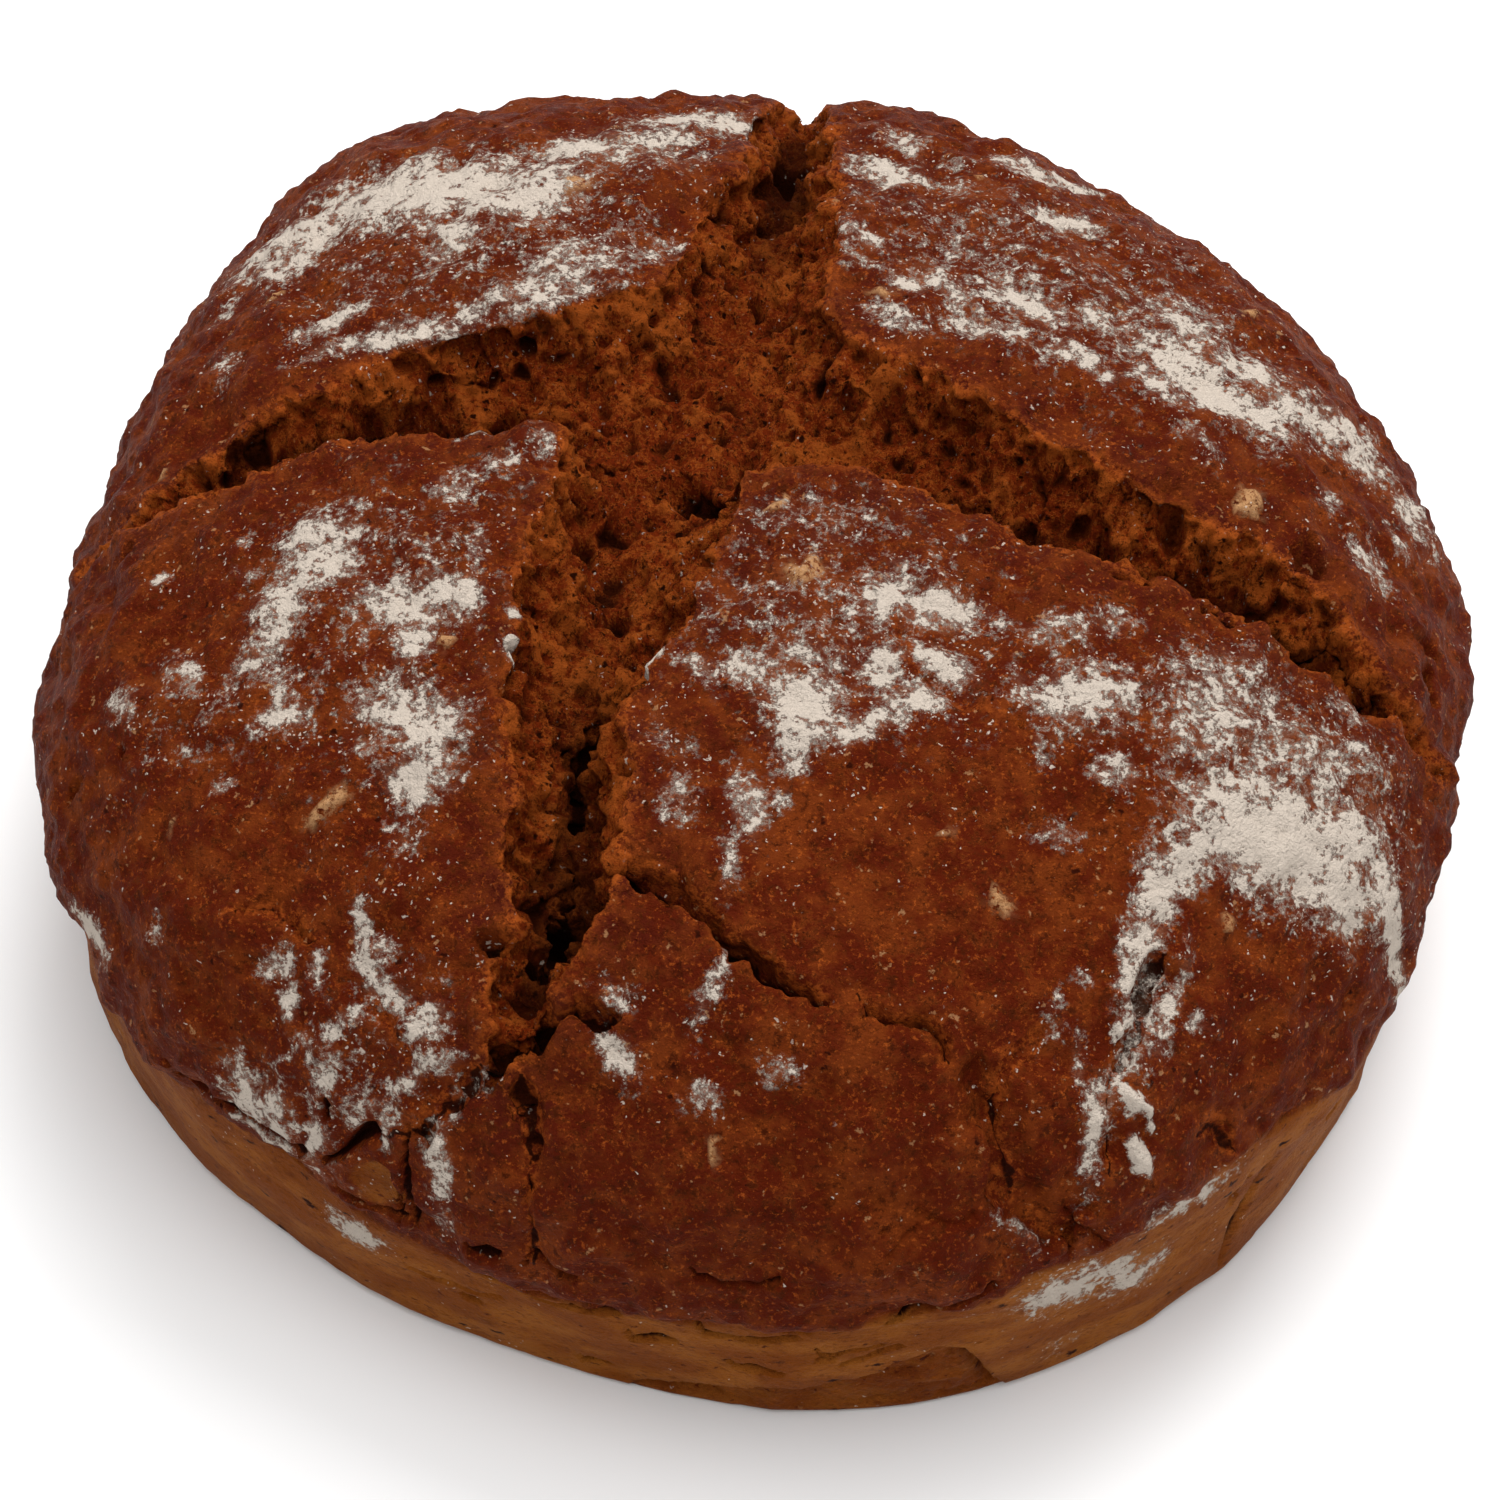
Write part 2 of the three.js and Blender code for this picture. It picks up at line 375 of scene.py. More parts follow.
def under_fold(points):
    """How far below the fold at the front each point is, in mm."""
    line = np.interp(degrees_round(points), [p[0] for p in FOLD], [p[1] for p in FOLD], left=-9, right=-9)
    return line + 0.8 * noise_at(points, 5, 2, 25) - points[:, 2]


def bubbles_at(places):
    """How deep the bubbles' holes are at each place."""
    depth = np.zeros(len(places))
    for x, y, radius, deep in BUBBLES:
        off = np.hypot(places[:, 0] - x, places[:, 1] - y)
        depth = np.maximum(depth, deep * (1 - smoothstep(off, 0.3 * radius, radius)))
    return depth


def pores_at(points, size, seed):
    """Round holes about size apart: 1 in the middle of a hole and 0 between them."""
    depth = []
    for place in (points / size + seed).tolist():
        near, centres = noise.voronoi(place)
        wide = 0.2 + 0.35 * noise.cell(centres[0])
        depth.append(max(0, 1 - near[0] / wide) if wide > 0.3 else 0)
    return np.array(depth)


def turned(x, y, turn):
    """How far x and y are along and across a line that is turned by so many degrees."""
    c = math.cos(math.radians(turn))
    s = math.sin(math.radians(turn))
    return x * c + y * s, y * c - x * s


def lumps_at(places, lumps, flat_top=0.0):
    """How far lumps stand out at each place. Each is x, y, half length, half width, turn and height."""
    height = np.zeros(len(places))
    for east, north, long, short, turn, tall in lumps:
        along, across = turned(places[:, 0] - east, places[:, 1] - north, turn)
        off = np.hypot(along / long, across / short)
        height = np.maximum(height, tall * (1 - smoothstep(off, flat_top, 1)))
    return height


# Masks, 0 to 1: crumb in the cross, wall below the crust, and crust for the rest of the outside.
points = read_points(loaf.data)
normals = read_normals(loaf.data)
angle = np.radians(degrees_round(points))
above = points[:, 2] - wall_top(angle)
torn = wavered(points)
inside, drop, shut_in = cross_at(torn)
split_inside, _, split_shade = splits_at(torn)
crumb = smoothstep(inside, -0.5, 0.5) * smoothstep(above, 2, 8)
torn_turn, torn_height, torn_wide, torn_tall = TORN_PATCH
torn_off = np.hypot((np.degrees(angle) - torn_turn) / torn_wide, (points[:, 2] - torn_height) / torn_tall)
patch = 1 - smoothstep(torn_off + 0.35 * noise_at(points, 3, 2, 28), 0.75, 1)

edge_height = np.interp(np.degrees(angle), *zip(*CRUST_EDGE)) + 1.5 * noise_at(points, 9, 3, 26)
below_crust = edge_height - points[:, 2]
fold = under_fold(points)
folded = smoothstep(fold, 0, 0.8)
wall = np.maximum(smoothstep(below_crust, -0.8, 1.2) * (1 - 0.45 * folded), 0.85 * patch)
crust = (1 - crumb) * (1 - wall)
near_cross = np.exp(np.minimum(0, inside) / 9)

# The swell is the loaf's slow lumpiness, and the relief is the texture of each kind of surface.
swell = 1.5 * noise_at(points, 24, 2, 3) + (1.4 - 1.1 * wall) * noise_at(points, 9, 2, 14)
relief = crust * (0.6 + 0.4 * near_cross) * noise_at(points, 4.2, 2, 4)
relief += crust * 0.35 * noise_at(points, 1.9, 2, 6)
relief += wall * 0.18 * noise_at(points, 4, 3, 7)
relief += crust * 0.8 * np.exp(-(inside + 1.2) ** 2 / 1.5) * (0.6 + noise_at(points, 5, 1, 16))
rough = crumb > 0.01
tall = points[rough] * (1, 1, 0.5)
ragged = 1.9 * noise_at(tall, 6, 3, 8) + 0.8 * noise_at(tall, 1.4, 2, 10)
ragged -= 2.4 * np.abs(noise_at(tall, 3.2, 3, 9))
ragged -= 2.2 * pores_at(points[rough], 4, 2) + 1.4 * pores_at(points[rough], 2.3, 5) - 0.4
relief[rough] += crumb[rough] * ragged
creases = creases_at(points)
relief -= creases + 0.7 * patch
relief -= folded * np.abs(0.8 * noise_at(points, 3, 2, 27))
holes = bubbles_at(torn)
relief -= smoothstep(above, 0, 4) * 0.3 * holes
upright = smoothstep(points[:, 2], 0.2, 3)
baked_on = lumps_at(torn, FLAKES, 0.3) * (1 + 0.7 * noise_at(points, 1.5, 2, 41))
baked_on += lumps_at(torn, FLOUR_LUMPS)
bare_relief = relief.copy()
relief += smoothstep(above, 0, 4) * baked_on - folded * (0.8 + 1.8 * np.exp(-np.maximum(fold, 0) / 4))
moved = points + normals * ((swell + relief) * upright)[:, None]
moved[:, 2] -= smoothstep(above, 0, 4) * 0.8 * holes
moved[:, 2] = np.maximum(moved[:, 2], 0)
write_points(loaf.data, moved)

# The mesh is thinned, but for creases, splits and torn edges, so that they stay sharp.
MOST_TRIANGLES = 190_000
triangles = 2 * len(loaf.data.polygons)
fine = (creases > 0.02) | (np.abs(fold - 0.6) < 0.8)
fine |= (np.abs(split_inside) < 0.8) & (above > 0)
fine |= (np.abs(inside) < 0.7) & (above > 4)
thinned = loaf.vertex_groups.new(name="thinned")
thinned.add(np.nonzero(~fine)[0].tolist(), 1, "REPLACE")
with_modifier(loaf, "DECIMATE", ratio=min(1, MOST_TRIANGLES / triangles), vertex_group="thinned")
loaf.vertex_groups.clear()

# Where a split's two sides met under the crust they closed off a speck of air, which is filled in.
skin = bmesh.new()
skin.from_mesh(loaf.data)
waiting = [max(skin.verts, key=lambda corner: corner.co.z)]
outside = set(waiting)
while waiting:
    corner = waiting.pop()
    for link in corner.link_edges:
        other = link.other_vert(corner)
        if other not in outside:
            outside.add(other)
            waiting.append(other)
bmesh.ops.delete(skin, geom=[corner for corner in skin.verts if corner not in outside], context="VERTS")
skin.to_mesh(loaf.data)
skin.free()

# Each point of the thinned mesh looks up the point of the full one that it came from.
full = kdtree.KDTree(len(moved))
for i, place in enumerate(moved.tolist()):
    full.insert(place, i)
full.balance()
points = read_points(loaf.data)
at = np.array([full.find(place)[1] for place in points.tolist()])

# Where flour lies on the crust: x, y, half length, half width, turn in degrees, and how thick, up to 1.
FLOUR_PATCHES = (
    # back left quarter
    (-45, 58.5, 17, 7, 178, 0.98), (-66, 54, 7, 6, 30, 0.98), (-31, 54, 7, 5, 0, 0.85),
    (-42, 46, 5, 3, 80, 0.85), (-25, 66, 5.5, 3.5, 10, 0.9), (-8, 76, 8, 4, 15, 0.85),
    (-15, 66, 9, 6, 30, 0.62), (-26, 38, 9, 5, 40, 0.75), (-14, 43, 4, 1.8, 20, 0.55),
    (-26, 32.5, 8, 1.4, 20, 0.8), (-37, 32, 5, 1.4, 12, 0.65), (-47, 28.5, 7, 1.7, 12, 0.92),
    (-58, 32.5, 5, 1.6, 20, 0.8), (-57, 26.5, 4.5, 1.4, 20, 0.75), (-74, 43, 2, 1.2, 60, 0.55),
    (-73, 28, 3, 1.6, 100, 0.6), (-47, 45, 4, 3, 0, 0.4), (-38, 46, 24, 12, 20, 0.3),
    # back right quarter
    (19, 63, 4.5, 3, 150, 0.85), (23, 71, 5, 2, 130, 0.65), (24, 61, 4, 2, 150, 0.55),
    (30, 60, 2, 1.5, 0, 0.7), (31, 67, 3, 1.6, 0, 0.55), (40, 67.5, 4.5, 2.6, 140, 0.9),
    (47, 69, 4, 1.3, 20, 0.9), (44.5, 54, 5, 2, 5, 0.95), (16, 44.5, 4, 1.8, 160, 0.7),
    (15, 40, 4, 1.5, 160, 0.65), (21.5, 35.5, 2.5, 1.8, 0, 0.8), (27, 36, 6, 2.5, 135, 0.7),
    (38, 34, 6, 3, 135, 0.8), (32, 27.5, 6, 2, 165, 0.75), (20, 28, 4.5, 2, 150, 0.7),
    (47.5, 32, 3, 1.8, 130, 0.85), (45, 22.5, 4.5, 1.8, 145, 0.8), (58, 24.5, 8, 5, 130, 0.8),
    (66, 18.5, 8, 3.5, 160, 0.92), (56, 19, 5, 3, 140, 0.7), (61, 33, 8, 6, 140, 0.6),
    (76, 19.5, 7, 3, 175, 0.8), (69, 26, 5, 4, 150, 0.72), (84, 19, 6, 3.5, 150, 0.92),
    (86, 25, 4, 2, 60, 0.6), (60, 9, 4, 2, 130, 0.45), (70, 12, 3.5, 1.5, 100, 0.5),
    (92, 11, 5, 2.2, 100, 0.7), (88.5, 3, 3, 1.5, 120, 0.7), (84, -3, 4.5, 2.2, 110, 0.65),
    (78, 5, 3, 1.2, 110, 0.45), (45, 40, 30, 18, 135, 0.32),
    # front left quarter
    (-56, -10, 5.5, 4.5, 110, 0.95), (-60.5, -19, 4.2, 3.6, 60, 0.78), (-62.5, -24, 4.2, 2.6, 60, 0.66),
    (-67, -27, 3, 1.2, 50, 0.6), (-60, -31, 3, 1.3, 95, 0.85), (-59.5, -35.5, 3.5, 2, 0, 0.95),
    (-74, -26, 3.5, 2, 130, 0.7), (-82, -28, 3.4, 1.5, 120, 0.7), (-67, -42, 1.2, 1, 0, 0.7),
    (-79, -9, 1, 1.2, 0, 0.65), (-67, -6.5, 1, 1.5, 0, 0.65), (-64, -12, 4, 1, 10, 0.55),
    (-43.5, -20.5, 6, 3.2, 0, 0.9), (-38, -21, 3, 3, 0, 0.95), (-43, -27, 3.6, 3, 90, 0.75),
    (-44, -36, 6, 4, 160, 0.7), (-40, -39, 4.5, 4.5, 0, 0.85), (-41.5, -45.5, 4, 3.2, 0, 0.95),
    (-48, -41, 3, 2, 0, 0.6), (-43, -54, 5, 4, 90, 0.3), (-39, -2, 3, 3, 0, 0.6),
    (-36, -12, 3, 1.3, 100, 0.6), (-45, -12, 1.4, 2, 0, 0.55), (-28.5, 5.5, 1.8, 2.2, 0, 0.5),
    (-33, 1.5, 3, 2, 140, 0.55), (-37, 9, 3, 0.9, 8, 0.65), (-30, -22.5, 1, 1, 0, 0.7),
    (-47.5, -65, 3.4, 1.2, 105, 0.85), (-45, -71, 2.4, 1.1, 150, 0.8), (-45, -66, 1, 1, 0, 0.7),
    (-40, -74.5, 2.2, 1.3, 0, 0.85), (-39, -77.5, 3, 0.7, 5, 0.8), (-43, -79, 1.6, 1.1, 0, 0.7),
    (-59.5, -65.5, 1.8, 1.3, 0, 0.9), (-58.5, -69, 1, 0.8, 0, 0.85), (-55, -67, 2, 1.1, 60, 0.65),
    (-50.5, -73.5, 2.5, 1.4, 0, 0.9), (-55, -75, 0.9, 1.2, 0, 0.7), (-52.5, -77, 1.6, 1.2, 0, 0.65),
    (-65, -73, 2.8, 1.8, 150, 0.95), (-61, -76.3, 2.4, 1.2, 130, 0.8), (-58, -73.5, 2.1, 0.7, 0, 0.75),
    (-76, -57, 1.6, 0.9, 120, 0.55), (-55.5, -80, 2, 0.9, 0, 0.9), (-55, -78, 1.6, 1, 0, 0.5),
    (-48, -79.5, 1.8, 1, 0, 0.6), (-45, -81, 1, 1.4, 0, 0.75), (-35, -80, 2.2, 1.2, 0, 0.7),
    (-39, -86, 3.4, 1.3, 110, 0.8), (-37, -82.5, 1.8, 0.8, 100, 0.6), (-48, -20, 18, 24, 0, 0.25),
    (-73, -32, 10, 9, 0, 0.22), (-50, -76, 16, 9, 0, 0.2),
    # front right quarter
    (17.5, -20.5, 4, 2.6, 60, 0.92), (19, -15.5, 2.6, 1.2, 110, 0.7), (25, -22.5, 4.6, 2.9, 0, 0.98),
    (24.5, -32, 4.5, 2.2, 140, 0.95), (17, -32.5, 4, 3, 50, 0.85), (20.5, -37.5, 4.5, 2.3, 20, 0.95),
    (14, -42, 4, 2.2, 25, 0.9), (6, -39, 5.5, 4.5, 100, 0.95), (5.5, -45, 3, 2, 90, 0.9),
    (0.5, -32.5, 4, 2.4, 150, 0.8), (-6.5, -32, 3, 1.6, 150, 0.7), (8, -31, 5, 3, 0, 0.5),
    (-10, -43, 4, 2, 110, 0.5), (-9, -51.5, 4, 2.4, 90, 0.58), (-0.5, -52, 5.5, 1.7, 105, 0.88),
    (-2.5, -61, 3.5, 1.2, 80, 0.65), (3, -52, 2, 1.6, 0, 0.65), (42, -35, 6, 4.5, 20, 0.88),
    (38, -38, 4, 3, 120, 0.85), (39.5, -25.5, 4, 2.4, 20, 0.68), (33, -24, 2.5, 2, 90, 0.55),
    (46, -23.5, 3.5, 2.6, 0, 0.45), (45.5, -45.5, 2.7, 1.7, 10, 0.88), (36, -44, 1.8, 0.9, 100, 0.75),
    (38.5, -54, 3.5, 1.6, 0, 0.65), (60, -35, 9, 7.5, 30, 0.74), (66, -49, 9.5, 6.5, 5, 0.98),
    (75, -47, 6.5, 5, 20, 0.9), (76, -53, 6, 4, 20, 0.85), (84, -53, 5.5, 1.7, 133, 0.92),
    (69, -38, 9, 6, 0, 0.72), (78, -28, 3, 1.8, 150, 0.65), (79, -35, 3, 1.3, 150, 0.6),
    (55, -55, 5.5, 3, 30, 0.88), (50.5, -59, 5, 2.6, 90, 0.88), (48.5, -69, 8, 2.2, 88, 0.98),
    (47, -76, 4, 1.7, 80, 0.88), (52.5, -72, 5, 1, 70, 0.8), (45.5, -79, 2.5, 1.1, 90, 0.75),
    (43, -85.5, 5, 1.8, 75, 0.88), (40, -80.5, 3, 1, 100, 0.65), (37.5, -75, 4, 1.4, 80, 0.5),
    (41, -71.5, 1.3, 1.3, 0, 0.6), (-4, -76, 4, 1.3, 70, 0.68), (-16, -81, 3, 1.5, 135, 0.92),
    (-16, -74.5, 3, 1.5, 170, 0.52), (3.5, -83, 2.6, 1, 170, 0.58), (-6, -86.5, 2, 1.4, 0, 0.58),
    (33, -94.5, 2.5, 1.6, 0, 0.55), (56, -73, 2, 1.2, 0, 0.5), (9, -8, 9, 5, 0, 0.42),
    (12, -22, 22, 15, -15, 0.32), (66, -40, 20, 14, 0, 0.32),
)

# Flour low on the loaf: angle, height, half width in degrees, half height, and how thick.
LOW_FLOUR = (
    (-68, 29, 2.8, 5, 1.08), (-64.5, 25, 3.4, 5.5, 1.02), (-60.5, 20, 2.8, 4.5, 0.8),
    (-57.5, 37, 3.5, 2.2, 0.75), (-150.5, 42.5, 2.4, 2.3, 1.2), (-122.5, 19.5, 2.6, 3, 1.05),
    (-66, 8, 2, 3, 0.5),
)


def flour_at(points, on_top):
    """How thick flour lies at each point, 0 to 1 or a little more. on_top is 1 on the dome."""
    level = flat(points)
    push = [1.5 * noise_at(level, 7, 3, seed) + 0.7 * noise_at(level, 2.2, 2, seed + 3) for seed in (31, 32)]
    x = points[:, 0] + push[0]
    y = points[:, 1] + push[1]
    amount = np.zeros(len(points))
    for east, north, long, short, turn, strength in FLOUR_PATCHES:
        along, across = turned(x - east, y - north, turn)
        off = (along / long) ** 2 + (across / short) ** 2
        amount = np.maximum(amount, strength * np.exp(-0.6 * off))
    amount *= on_top
    angle = degrees_round(points)
    for turn, height, wide, tall, strength in LOW_FLOUR:
        across = (angle + 0.6 * push[0] - turn) / wide
        up = (points[:, 2] + push[1] - height) / tall
        amount = np.maximum(amount, strength * np.exp(-0.8 * (across ** 2 + up ** 2)))
    out = np.hypot(points[:, 0], points[:, 1])
    ring = np.column_stack((out, 0.4 * np.radians(angle) * out, np.zeros(len(points))))
    streaks = 0.2 * noise_at(ring, 4, 3, 36) * smoothstep(points[:, 1], 0, 20)
    drift = 0.16 * noise_at(level, 16, 3, 35) + 0.15 * noise_at(level, 4.5, 3, 37)
    return np.clip(amount + (drift + streaks) * (0.2 + amount), 0, 1.15)


def add_share(name, values):
    attribute = loaf.data.attributes.new(name, "FLOAT", "POINT")
    attribute.data.foreach_set("value", values.astype(np.float32))


# What the thinned mesh's points keep for the colours, as shares from 0 to 1, and the relief in mm.
flour = flour_at(points, smoothstep(above[at], -3, 3)) * (1 - 0.85 * crumb[at])
flour *= 1 - 0.45 * smoothstep(split_inside[at], 0, 0.5) * smoothstep(above[at], 0, 3)
flour *= 1 - 0.9 * np.clip(creases[at], 0, 1)
lumps = np.clip(2 * lumps_at(torn[at], FLOUR_LUMPS), 0, 1) * smoothstep(above[at], 0, 4)
add_share("crumb", crumb[at])
add_share("wall", wall[at])
add_share("flour", np.maximum(flour, lumps))
# Painted shade: darkest at the bottoms of narrow splits, in creases, in the crevice under the fold and in
# the deepest bubble holes.
crevice = folded * np.exp(-np.maximum(fold, 0) / 1.1)
painted_shade = np.maximum(split_shade * smoothstep(above, 0, 3), np.maximum(creases / 1.9, 1.3 * crevice))
painted_shade = np.maximum(painted_shade, 0.75 * smoothstep(holes, 2.8, 5) * smoothstep(above, 0, 3))
# The cross's depth and how shut in it is; the colours use both to paint shade down in the valley.
add_share("depth", np.clip(drop[at] / CROSS_DEPTH, 0, 1))
add_share("shut_in", np.clip(shut_in[at], 0, 1))
add_share("recess_shade", np.clip(painted_shade[at], 0, 1))
# The relief without baked-on lumps: the colours paint shade in its hollows and a highlight where crumb
# stands up.
add_share("relief", bare_relief[at])
add_share("bran", np.clip(lumps_at(torn[at], FLAKES, 0.3) / 0.4, 0, 1) * (1 - 0.7 * crumb[at]))
# Torn edges, later coloured gold: partly the paler torn crumb, partly a painted highlight on the lit lip.
edge = np.maximum(np.exp(-np.abs(inside[at]) / 0.75), 0.6 * np.exp(-np.abs(split_inside[at] - 0.3) / 0.3))
add_share("edge", edge * smoothstep(above[at], 0, 5) * np.clip(1 - 1.3 * flour, 0, 1))
# Nearness to the cross, where the crust turns plum: partly darker crust, partly a painted bluish sheen.
add_share("lip", near_cross[at] * (1 - crumb[at]))
write_points(loaf.data, (points - middle) * MM)
loaf.data.polygons.foreach_set("use_smooth", np.ones(len(loaf.data.polygons), bool))


# ---- Its colours ---------------------------------------------------------------------------------
# One matt material. The crust, crumb and wall colours are mixed by the shares stored on the mesh, and flour
# lies over them grain by grain. Shade in the cross, splits, creases and pores, and highlights on raised
# crumb, torn edges and the crust's fine bumps, are painted into the colours.

bread = bpy.data.materials.new("baked_bread")
bread.use_nodes = True
tree = bread.node_tree
shader = tree.nodes["Principled BSDF"]


def node(kind, **settings):
    made = tree.nodes.new(kind)
    for name, value in settings.items():
        setattr(made, name, value)
    return made


def share(name):
    """A share stored on the mesh's points."""
    return node("ShaderNodeAttribute", attribute_name=name).outputs["Fac"]


place = node("ShaderNodeTexCoord").outputs["Object"]


def specks(size, detail=4, roughness=0.6, stretch=(1, 1, 1)):
    """Noise with features of the given size in mm, 0 to 1 and mostly near a half."""
    spread = node("ShaderNodeVectorMath", operation="MULTIPLY")
    tree.links.new(place, spread.inputs[0])
    spread.inputs[1].default_value = stretch
    made = node("ShaderNodeTexNoise")
    made.inputs["Scale"].default_value = 1 / (size * MM)
    made.inputs["Detail"].default_value = detail
    made.inputs["Roughness"].default_value = roughness
    tree.links.new(spread.outputs[0], made.inputs["Vector"])
    return made.outputs["Fac"]


def math_of(operation, *values):
    made = node("ShaderNodeMath", operation=operation)
    for socket, value in zip(made.inputs, values):
        if isinstance(value, (int, float)):
            socket.default_value = value
        else:
            tree.links.new(value, socket)
    return made.outputs[0]


def total(*values):
    result = values[0]
    for value in values[1:]:
        result = math_of("ADD", result, value)
    return result


def times(*values):
    result = values[0]
    for value in values[1:]:
        result = math_of("MULTIPLY", result, value)
    return result


def step(value, low, high):
    """0 at low, 1 at high, and a smooth ramp between them. Low may be the larger."""
    made = node("ShaderNodeMapRange", interpolation_type="SMOOTHSTEP")
    made.inputs["From Min"].default_value = low
    made.inputs["From Max"].default_value = high
    tree.links.new(value, made.inputs["Value"])
    return made.outputs["Result"]


def blend(share_of, first, second):
    """The first colour where the share is 0 and the second where it is 1."""
    made = node("ShaderNodeMix", data_type="RGBA")
    tree.links.new(share_of, made.inputs["Factor"])
    for socket, value in ((made.inputs[6], first), (made.inputs[7], second)):
        if isinstance(value, tuple):
            socket.default_value = (*value, 1)
        else:
            tree.links.new(value, socket)
    return made.outputs[2]


# Dots are cut from a shaken copy of the place, so that none is round.
shake = node("ShaderNodeTexNoise")
shake.inputs["Scale"].default_value = 1 / (0.9 * MM)
shake.inputs["Detail"].default_value = 2
tree.links.new(place, shake.inputs["Vector"])
shaken_place = node("ShaderNodeVectorMath", operation="MULTIPLY_ADD")
tree.links.new(shake.outputs["Color"], shaken_place.inputs[0])
shaken_place.inputs[1].default_value = (1.5 * MM, 1.5 * MM, 1.5 * MM)
tree.links.new(place, shaken_place.inputs[2])


def dots(size, radius, kept, stretch=(1, 1, 1)):
    """Ragged dots in cells of the given size in mm: radius as a share of a cell, and the share kept."""
    spread = node("ShaderNodeVectorMath", operation="MULTIPLY")
    tree.links.new(shaken_place.outputs[0], spread.inputs[0])
    spread.inputs[1].default_value = stretch
    cells = node("ShaderNodeTexVoronoi")
    cells.inputs["Scale"].default_value = 1 / (size * MM)
    tree.links.new(spread.outputs[0], cells.inputs["Vector"])
    chance = node("ShaderNodeSeparateColor")
    tree.links.new(cells.outputs["Color"], chance.inputs["Color"])
    chosen = math_of("GREATER_THAN", math_of("ADD", chance.outputs["Red"], kept), 1)
    return times(chosen, step(cells.outputs["Distance"], radius * 1.3, radius * 0.6))


CRUST = (0.090, 0.0096, 0.0018)
CRUST_ORANGE = (0.165, 0.030, 0.0046)
CRUST_PLUM_AND_SHEEN = (0.060, 0.0070, 0.0036)
CRUST_DARK = (0.030, 0.0038, 0.0008)
CRACK_SHADE = (0.011, 0.0016, 0.0004)
CRUMB_RED = (0.235, 0.0280, 0.0040)
CRUMB_GOLD = (0.50, 0.108, 0.0150)
CRUMB_PALE = (0.52, 0.20, 0.060)
CRUMB_SHADE = (0.028, 0.0046, 0.0008)
WALL = (0.245, 0.061, 0.0066)
WALL_PALE = (0.350, 0.108, 0.0150)
WALL_DARK = (0.105, 0.018, 0.0026)
BRAN = (0.50, 0.26, 0.115)
BRAN_DARK = (0.16, 0.050, 0.0120)
FLOUR = (0.70, 0.60, 0.505)
FLOUR_FILM = (0.34, 0.20, 0.135)

# Crust: patchy red-brown with orange and dark mottling, and darker plum near the cross whose bluish tint is
# a painted sheen; pores and the cross's depth are darkened as painted shade, and tiny gold glints are
# painted highlight.
relief_share = share("relief")
deep = step(share("depth"), 0.25, 0.75)
# Painted shade at the bottoms of splits, creases, the fold's crevice and holes, broken up by noise.
recess_shade = step(total(share("recess_shade"), times(specks(0.8, 3), 0.5)), 0.60, 0.85)

crust_colour = blend(step(specks(7, 4), 0.46, 0.66), CRUST, CRUST_ORANGE)
# Darker plum near the cross, its bluish tint a painted sheen.
crust_colour = blend(times(share("lip"), step(specks(5, 4), 0.36, 0.60)), crust_colour, CRUST_PLUM_AND_SHEEN)
crust_colour = blend(step(specks(3.2, 6, 0.75), 0.48, 0.62), crust_colour, CRUST_ORANGE)
crust_colour = blend(times(step(specks(1.6, 5, 0.75), 0.50, 0.64), 0.75), crust_colour, CRUST_DARK)
# Painted highlight: tiny gold glints on the crust's fine bumps.
crust_colour = blend(times(step(specks(0.7, 4, 0.75), 0.55, 0.66), 0.42), crust_colour, CRUMB_GOLD)
crust_colour = blend(times(step(specks(1.7, 3, 0.6), 0.66, 0.72), 0.5), crust_colour, BRAN)
# Painted shade: pores as small dark dots.
crust_colour = blend(dots(3.1, 0.13, 0.22), crust_colour, CRUST_DARK)
# Painted shade deep in the cross's valley.
crust_colour = blend(times(deep, 0.85), crust_colour, CRUST_DARK)

# Crumb: golden on what stands up, partly a painted highlight, and dark as painted shade in pores, pits,
# hollows and narrow shut-in places, with fine torn strands.
# Gold where specks and the relief stand up: partly random, partly a painted highlight on raised crumb.
crumb_gold_and_highlight = total(specks(1.8, 7, 0.8, (1, 1, 0.5)), times(relief_share, 0.085), times(specks(9, 3), 0.6))
crumb_colour = blend(step(crumb_gold_and_highlight, 0.76, 0.92), CRUMB_RED, CRUMB_GOLD)
# Painted shade in tiny pits.
pit_shade = times(step(specks(0.8, 4, 0.8, (1, 1, 0.6)), 0.52, 0.61), 0.85)
crumb_colour = blend(pit_shade, crumb_colour, CRUMB_SHADE)
crisp_tips = times(step(specks(0.45, 3, 0.8, (1, 1, 0.5)), 0.55, 0.63), 0.55)
crumb_colour = blend(crisp_tips, crumb_colour, CRUMB_GOLD)
crumb_colour = blend(times(step(specks(0.9, 3, 0.8), 0.64, 0.70), 0.7), crumb_colour, CRUMB_PALE)
strand = math_of("ABSOLUTE", math_of("SUBTRACT", specks(2.2, 4, 0.65, (1, 1, 0.45)), 0.5))
strands = step(strand, 0.024, 0.004)
crumb_colour = blend(times(strands, 0.8), crumb_colour, CRUMB_GOLD)
# Painted shade in pores and in the relief's hollows.
crumb_colour = blend(dots(1.9, 0.24, 0.3), crumb_colour, CRUMB_SHADE)
crumb_colour = blend(times(step(relief_share, -0.6, -2.4), 0.9), crumb_colour, CRUMB_SHADE)
# Painted shade in the narrow, shut-in parts of the valley.
valley_shade = step(total(share("shut_in"), times(specks(5, 3), 0.4)), 0.64, 0.98)
crumb_colour = blend(times(valley_shade, 0.8), crumb_colour, CRUMB_SHADE)
crumb_colour = blend(times(dots(1.3, 0.15, 0.10), 0.8), crumb_colour, FLOUR)

